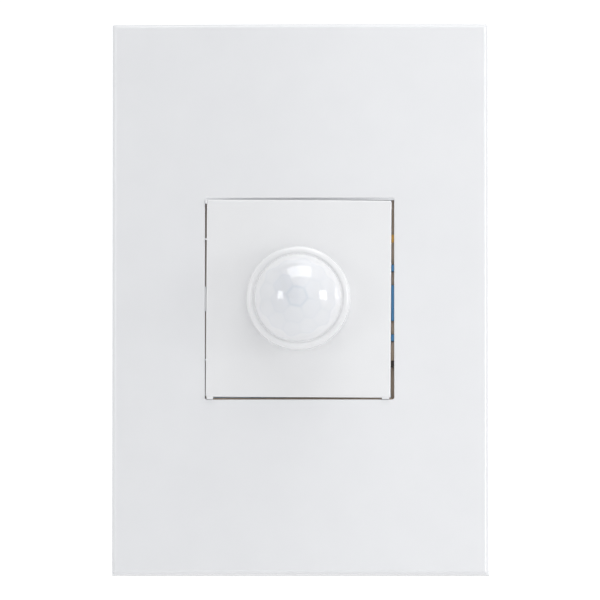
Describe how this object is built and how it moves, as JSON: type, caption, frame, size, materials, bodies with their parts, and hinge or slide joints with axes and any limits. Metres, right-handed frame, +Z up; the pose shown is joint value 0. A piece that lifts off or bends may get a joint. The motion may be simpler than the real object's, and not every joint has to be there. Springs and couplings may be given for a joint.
{
  "type": "motion sensor light switch",
  "caption": "Wall plate with a domed infrared sensor module that switches a lamp when it sees movement, on a support frame for a wall box.",
  "frame": {"origin": "midway between the two box screws, on the wall's plane", "axes": "+Z up, +Y into the wall, so the face looks along -Y, and +X to the right as seen from the room"},
  "size_m": [0.082, 0.0514, 0.12],
  "materials": {
    "cover_white": "satin moulded",
    "bezel_white": "satin moulded",
    "lens_milk": "milky gloss",
    "frame_taupe": "moulded matt",
    "housing_blue": "moulded matt",
    "screw_steel": "zinc plated",
    "can_steel": "drawn nickel",
    "filter_dark": "dark gloss",
    "cell_clear": "clear",
    "board_green": "solder mask",
    "part_black": "moulded matt",
    "part_tan": "ceramic",
    "wheel_orange": "moulded",
    "wheel_dark": "moulded",
    "contact_brass": "stamped",
    "relay_blue": "gloss",
    "relay_iron": "nickel plated",
    "bobbin_cream": "moulded",
    "winding_copper": "enamelled copper",
    "capacitor_yellow": "moulded",
    "sleeve_black": "shrink sleeve",
    "varistor_blue": "dipped",
    "fuse_brown": "moulded",
    "terminal_grey": "moulded matt"
  },
  "bodies": {
    "switch": {"support_frame": "frame_taupe", "box_screws": "screw_steel", "sensor_bezel": "bezel_white", "dome_lens": "lens_milk", "lens_retainer": "bezel_white", "sensor_board": "board_green", "sensor_board_screws": "screw_steel", "detector_base": "can_steel", "detector_can": "can_steel", "detector_window": "filter_dark", "light_cell": "cell_clear", "control_chip": "part_black", "board_passives": "part_tan", "time_adjuster": "part_black", "light_adjuster": "part_black", "link_pins": "contact_brass", "link_headers": "part_black", "power_board": "board_green", "power_board_screws": "screw_steel", "relay_base": "part_black", "relay_case": "relay_blue", "relay_yoke": "relay_iron", "relay_bobbin": "bobbin_cream", "relay_winding": "winding_copper", "relay_fixed_contact": "contact_brass", "dropper_capacitor": "capacitor_yellow", "smoothing_capacitor": "sleeve_black", "surge_varistor": "varistor_blue", "fuse": "fuse_brown", "bridge_rectifier": "part_black", "driver_transistor": "part_black", "line_terminal": "terminal_grey", "neutral_terminal": "terminal_grey", "load_terminal": "terminal_grey", "contact_bars": "contact_brass", "rear_housing": "housing_blue"},
    "cover": {"cover_plate": "cover_white"},
    "time_wheel": {"time_wheel": "wheel_orange"},
    "light_wheel": {"light_wheel": "wheel_dark"},
    "armature": {"relay_armature": "relay_iron", "relay_contact_spring": "contact_brass"},
    "line_screw": {"line_screw": "screw_steel"},
    "line_cage": {"line_cage": "contact_brass"},
    "neutral_screw": {"neutral_screw": "screw_steel"},
    "neutral_cage": {"neutral_cage": "contact_brass"},
    "load_screw": {"load_screw": "screw_steel"},
    "load_cage": {"load_cage": "contact_brass"}
  },
  "joints": [
    {"name": "cover_pull", "type": "slide", "parent": "switch", "child": "cover", "axis": [0, -1, 0], "range_m": [0, 0.035]},
    {"name": "time_turn", "type": "hinge", "parent": "switch", "child": "time_wheel", "pos_m": [0.01605, 0.00075, 0.01335], "axis": [0, 0, 1], "range_deg": [-135, 135]},
    {"name": "light_turn", "type": "hinge", "parent": "switch", "child": "light_wheel", "pos_m": [0.01605, 0.00075, -0.01335], "axis": [0, 0, 1], "range_deg": [-135, 135]},
    {"name": "armature_tip", "type": "hinge", "parent": "switch", "child": "armature", "pos_m": [-0.00863, 0.0008, 0.0091], "axis": [0, 0, 1], "range_deg": [0, 3.2], "stiffness_Nm_per_rad": 0.02, "springref_deg": -1.72},
    {"name": "line_screw_turn", "type": "hinge", "parent": "switch", "child": "line_screw", "pos_m": [-0.0075, 0.025, -0.0155], "axis": [0, -1, 0], "range_deg": [0, 1440]},
    {"name": "line_cage_rise", "type": "slide", "parent": "switch", "child": "line_cage", "axis": [0, 1, 0], "range_m": [0, 0.002]},
    {"name": "neutral_screw_turn", "type": "hinge", "parent": "switch", "child": "neutral_screw", "pos_m": [0, 0.025, -0.0155], "axis": [0, -1, 0], "range_deg": [0, 1440]},
    {"name": "neutral_cage_rise", "type": "slide", "parent": "switch", "child": "neutral_cage", "axis": [0, 1, 0], "range_m": [0, 0.002]},
    {"name": "load_screw_turn", "type": "hinge", "parent": "switch", "child": "load_screw", "pos_m": [0.0075, 0.025, -0.0155], "axis": [0, -1, 0], "range_deg": [0, 1440]},
    {"name": "load_cage_rise", "type": "slide", "parent": "switch", "child": "load_cage", "axis": [0, 1, 0], "range_m": [0, 0.002]}
  ],
  "couplings": [
    {"joint": "line_screw_turn", "follows": "line_cage_rise", "rad_per_m": 12566},
    {"joint": "neutral_screw_turn", "follows": "neutral_cage_rise", "rad_per_m": 12566},
    {"joint": "load_screw_turn", "follows": "load_cage_rise", "rad_per_m": 12566}
  ]
}
